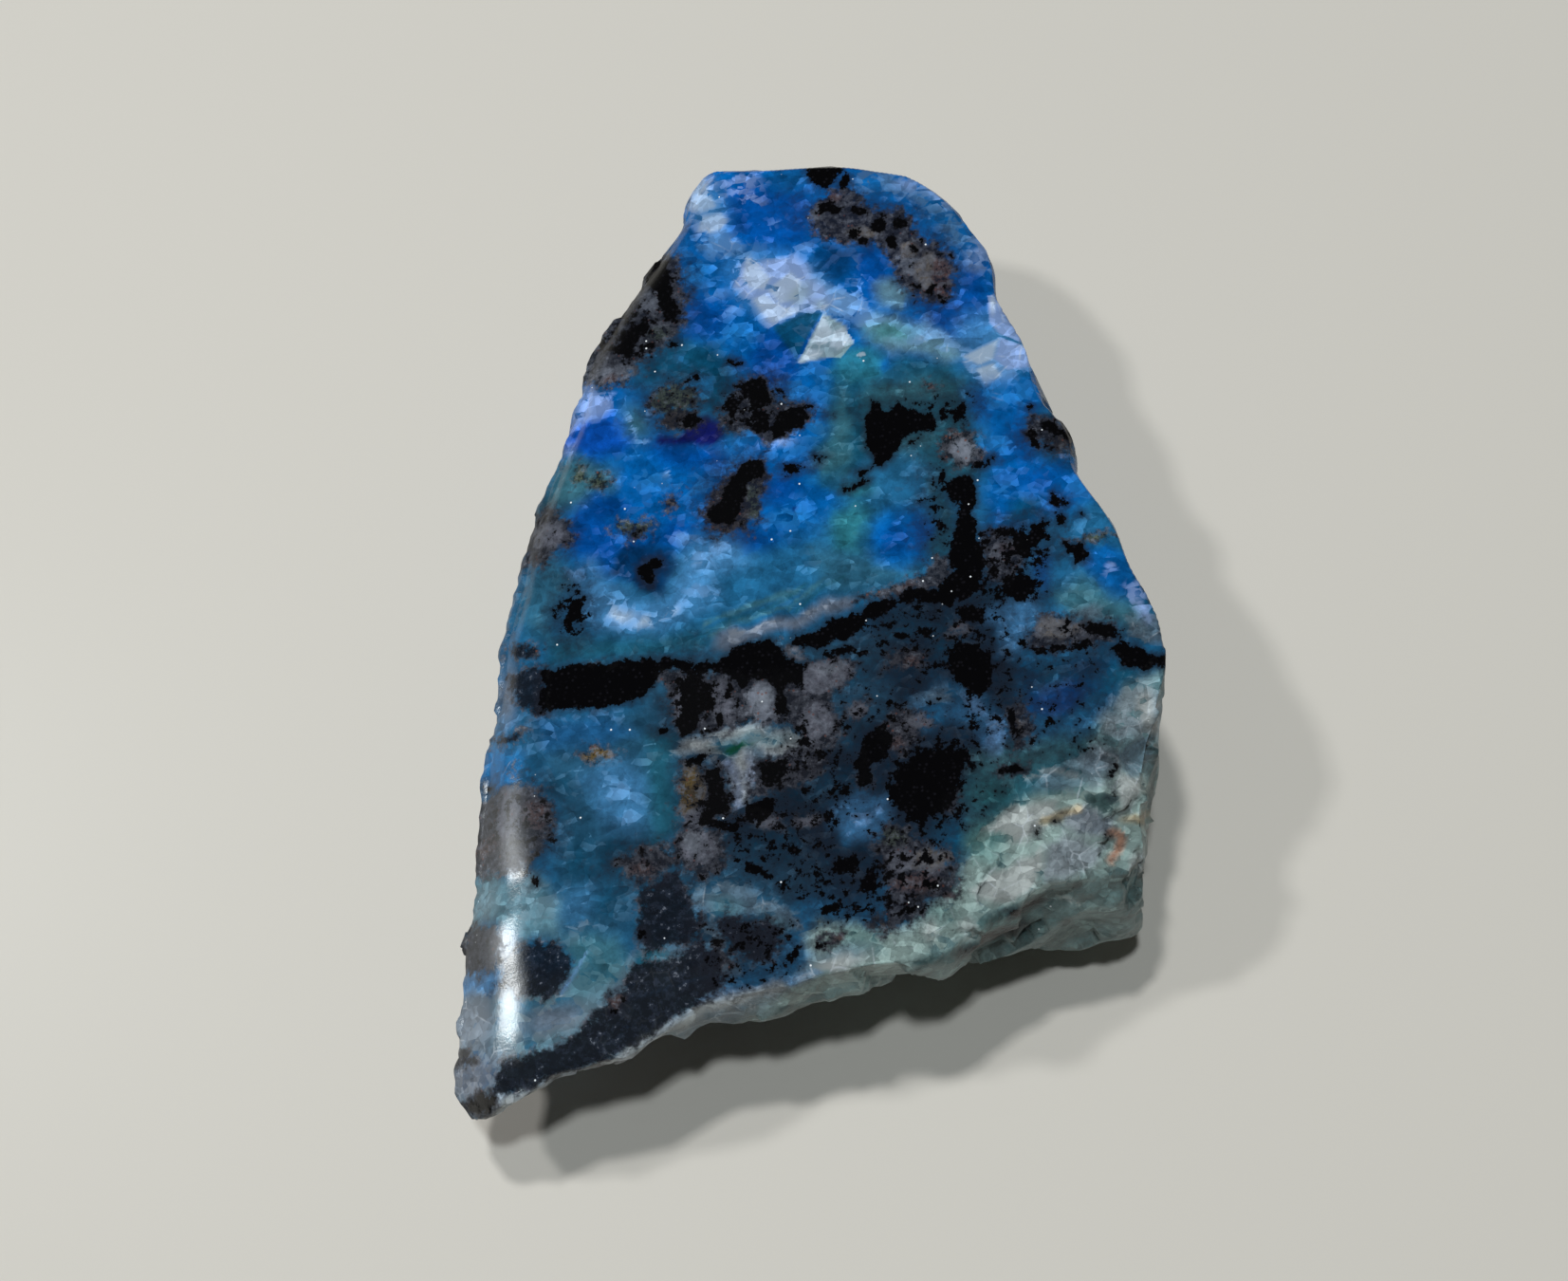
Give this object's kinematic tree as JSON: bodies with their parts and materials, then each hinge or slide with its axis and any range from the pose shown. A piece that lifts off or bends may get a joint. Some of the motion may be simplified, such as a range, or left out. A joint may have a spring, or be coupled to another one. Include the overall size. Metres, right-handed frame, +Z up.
{
  "type": "raw azurite",
  "caption": "Hand-sized chunk of azurite in quartz with black ore veins, one face sawn and polished, the rest rough broken stone.",
  "frame": {"origin": "on the resting plane, below the middle of the stone's bounding box", "axes": "+Z up through the polished face; +Y along the stone towards its blunt end; +X to the right with the sharp corner at the front left"},
  "size_m": [0.0526, 0.0766, 0.0231],
  "materials": {
    "azurite_stone": "blue, white and black stone, polished on its upper face and rough elsewhere"
  },
  "bodies": {
    "root": {"azurite_stone": "azurite_stone"}
  },
  "joints": []
}
